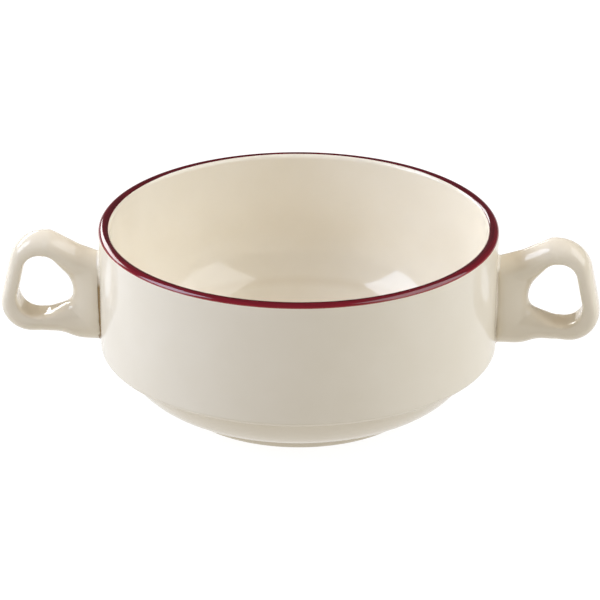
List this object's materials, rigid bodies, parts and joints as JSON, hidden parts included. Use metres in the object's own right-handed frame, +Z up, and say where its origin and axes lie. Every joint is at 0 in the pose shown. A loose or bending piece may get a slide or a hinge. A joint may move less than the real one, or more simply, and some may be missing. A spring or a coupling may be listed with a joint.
{
  "type": "lug soup bowl",
  "caption": "Round stacking soup bowl in glazed hotelware with pierced lug handles, a coloured line on the lip, a stacking step low on the wall and a foot ring.",
  "frame": {"origin": "centre of the foot ring, on the surface that the bowl stands on", "axes": "+Z up out of the bowl, +X towards the right handle, the handles along X"},
  "size_m": [0.1566, 0.104, 0.049],
  "materials": {
    "ivory_glaze": "gloss glaze",
    "claret_line": "fired colour under gloss glaze",
    "slip_bead": "gloss glaze"
  },
  "bodies": {
    "root": {"bowl_body": "ivory_glaze", "rim_line": "claret_line", "left_handle": "ivory_glaze", "right_handle": "ivory_glaze", "left_slip": "slip_bead", "right_slip": "slip_bead"}
  },
  "joints": []
}
